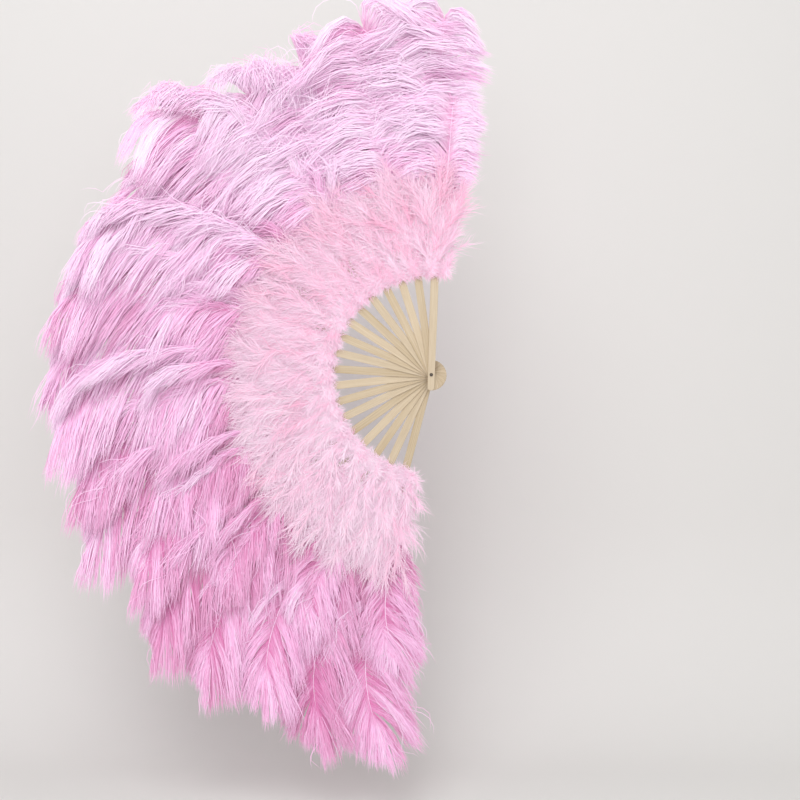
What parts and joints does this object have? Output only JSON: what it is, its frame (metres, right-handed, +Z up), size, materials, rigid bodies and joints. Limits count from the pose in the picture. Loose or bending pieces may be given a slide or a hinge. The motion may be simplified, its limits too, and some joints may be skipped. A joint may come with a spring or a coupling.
{
  "type": "feather fan",
  "caption": "Large folding hand fan: bamboo sticks turning on one rivet, each with a marabou tuft and a long curled ostrich plume; opens to a wide half circle.",
  "frame": {"origin": "on the rivet's axis, half way through the stack of sticks, where the hand closes round the sticks' tails", "axes": "+Z up as the open fan is held in the picture, -Y out of the fan's front, +X to the right as seen from the front"},
  "size_m": [0.8616, 0.0967, 1.4557],
  "materials": {
    "bamboo": "satin",
    "guard_bamboo": "satin",
    "ostrich": "matte",
    "marabou": "matte",
    "rivet_metal": "satin"
  },
  "bodies": {
    "front_leaf": {"front_guard": "guard_bamboo", "plume_01": "ostrich", "marabou_01": "marabou", "rivet": "rivet_metal", "washer": "rivet_metal"},
    "leaf_02": {"rib_02": "bamboo", "plume_02": "ostrich", "marabou_02": "marabou"},
    "leaf_03": {"rib_03": "bamboo", "plume_03": "ostrich", "marabou_03": "marabou"},
    "leaf_04": {"rib_04": "bamboo", "plume_04": "ostrich", "marabou_04": "marabou"},
    "leaf_05": {"rib_05": "bamboo", "plume_05": "ostrich", "marabou_05": "marabou"},
    "leaf_06": {"rib_06": "bamboo", "plume_06": "ostrich", "marabou_06": "marabou"},
    "leaf_07": {"rib_07": "bamboo", "plume_07": "ostrich", "marabou_07": "marabou"},
    "leaf_08": {"rib_08": "bamboo", "plume_08": "ostrich", "marabou_08": "marabou"},
    "leaf_09": {"rib_09": "bamboo", "plume_09": "ostrich", "marabou_09": "marabou"},
    "leaf_10": {"rib_10": "bamboo", "plume_10": "ostrich", "marabou_10": "marabou"},
    "leaf_11": {"rib_11": "bamboo", "plume_11": "ostrich", "marabou_11": "marabou"},
    "leaf_12": {"rib_12": "bamboo", "plume_12": "ostrich", "marabou_12": "marabou"},
    "leaf_13": {"rib_13": "bamboo", "plume_13": "ostrich", "marabou_13": "marabou"},
    "leaf_14": {"rib_14": "bamboo", "plume_14": "ostrich", "marabou_14": "marabou"},
    "leaf_15": {"rib_15": "bamboo", "plume_15": "ostrich", "marabou_15": "marabou"},
    "leaf_16": {"rib_16": "bamboo", "plume_16": "ostrich", "marabou_16": "marabou"},
    "leaf_17": {"rib_17": "bamboo", "plume_17": "ostrich", "marabou_17": "marabou"},
    "leaf_18": {"rear_guard": "guard_bamboo", "plume_18": "ostrich", "marabou_18": "marabou"}
  },
  "joints": [
    {"name": "fan_spread", "type": "hinge", "parent": "front_leaf", "child": "leaf_18", "pos_m": [0, 0, 0], "axis": [0, -1, 0], "range_deg": [-167, 0], "deforming": ["marabou_18"]},
    {"name": "leaf_17_turn", "type": "hinge", "parent": "front_leaf", "child": "leaf_17", "pos_m": [0, 0, 0], "axis": [0, -1, 0], "range_deg": [-157.18, 0], "deforming": ["marabou_17"]},
    {"name": "leaf_16_turn", "type": "hinge", "parent": "front_leaf", "child": "leaf_16", "pos_m": [0, 0, 0], "axis": [0, -1, 0], "range_deg": [-147.35, 0], "deforming": ["marabou_16"]},
    {"name": "leaf_15_turn", "type": "hinge", "parent": "front_leaf", "child": "leaf_15", "pos_m": [0, 0, 0], "axis": [0, -1, 0], "range_deg": [-137.53, 0], "deforming": ["marabou_15"]},
    {"name": "leaf_14_turn", "type": "hinge", "parent": "front_leaf", "child": "leaf_14", "pos_m": [0, 0, 0], "axis": [0, -1, 0], "range_deg": [-127.71, 0], "deforming": ["marabou_14"]},
    {"name": "leaf_13_turn", "type": "hinge", "parent": "front_leaf", "child": "leaf_13", "pos_m": [0, 0, 0], "axis": [0, -1, 0], "range_deg": [-117.88, 0], "deforming": ["marabou_13"]},
    {"name": "leaf_12_turn", "type": "hinge", "parent": "front_leaf", "child": "leaf_12", "pos_m": [0, 0, 0], "axis": [0, -1, 0], "range_deg": [-108.06, 0], "deforming": ["marabou_12"]},
    {"name": "leaf_11_turn", "type": "hinge", "parent": "front_leaf", "child": "leaf_11", "pos_m": [0, 0, 0], "axis": [0, -1, 0], "range_deg": [-98.24, 0], "deforming": ["marabou_11"]},
    {"name": "leaf_10_turn", "type": "hinge", "parent": "front_leaf", "child": "leaf_10", "pos_m": [0, 0, 0], "axis": [0, -1, 0], "range_deg": [-88.41, 0], "deforming": ["marabou_10"]},
    {"name": "leaf_09_turn", "type": "hinge", "parent": "front_leaf", "child": "leaf_09", "pos_m": [0, 0, 0], "axis": [0, -1, 0], "range_deg": [-78.59, 0], "deforming": ["marabou_09"]},
    {"name": "leaf_08_turn", "type": "hinge", "parent": "front_leaf", "child": "leaf_08", "pos_m": [0, 0, 0], "axis": [0, -1, 0], "range_deg": [-68.77, 0], "deforming": ["marabou_08"]},
    {"name": "leaf_07_turn", "type": "hinge", "parent": "front_leaf", "child": "leaf_07", "pos_m": [0, 0, 0], "axis": [0, -1, 0], "range_deg": [-58.94, 0], "deforming": ["marabou_07"]},
    {"name": "leaf_06_turn", "type": "hinge", "parent": "front_leaf", "child": "leaf_06", "pos_m": [0, 0, 0], "axis": [0, -1, 0], "range_deg": [-49.12, 0], "deforming": ["marabou_06"]},
    {"name": "leaf_05_turn", "type": "hinge", "parent": "front_leaf", "child": "leaf_05", "pos_m": [0, 0, 0], "axis": [0, -1, 0], "range_deg": [-39.3, 0], "deforming": ["marabou_05"]},
    {"name": "leaf_04_turn", "type": "hinge", "parent": "front_leaf", "child": "leaf_04", "pos_m": [0, 0, 0], "axis": [0, -1, 0], "range_deg": [-29.47, 0], "deforming": ["marabou_04"]},
    {"name": "leaf_03_turn", "type": "hinge", "parent": "front_leaf", "child": "leaf_03", "pos_m": [0, 0, 0], "axis": [0, -1, 0], "range_deg": [-19.65, 0], "deforming": ["marabou_03"]},
    {"name": "leaf_02_turn", "type": "hinge", "parent": "front_leaf", "child": "leaf_02", "pos_m": [0, 0, 0], "axis": [0, -1, 0], "range_deg": [-9.82, 0], "deforming": ["marabou_02"]}
  ],
  "couplings": [
    {"joint": "leaf_17_turn", "follows": "fan_spread", "ratio": 0.94118},
    {"joint": "leaf_16_turn", "follows": "fan_spread", "ratio": 0.88235},
    {"joint": "leaf_15_turn", "follows": "fan_spread", "ratio": 0.82353},
    {"joint": "leaf_14_turn", "follows": "fan_spread", "ratio": 0.76471},
    {"joint": "leaf_13_turn", "follows": "fan_spread", "ratio": 0.70588},
    {"joint": "leaf_12_turn", "follows": "fan_spread", "ratio": 0.64706},
    {"joint": "leaf_11_turn", "follows": "fan_spread", "ratio": 0.58824},
    {"joint": "leaf_10_turn", "follows": "fan_spread", "ratio": 0.52941},
    {"joint": "leaf_09_turn", "follows": "fan_spread", "ratio": 0.47059},
    {"joint": "leaf_08_turn", "follows": "fan_spread", "ratio": 0.41176},
    {"joint": "leaf_07_turn", "follows": "fan_spread", "ratio": 0.35294},
    {"joint": "leaf_06_turn", "follows": "fan_spread", "ratio": 0.29412},
    {"joint": "leaf_05_turn", "follows": "fan_spread", "ratio": 0.23529},
    {"joint": "leaf_04_turn", "follows": "fan_spread", "ratio": 0.17647},
    {"joint": "leaf_03_turn", "follows": "fan_spread", "ratio": 0.11765},
    {"joint": "leaf_02_turn", "follows": "fan_spread", "ratio": 0.058824}
  ]
}
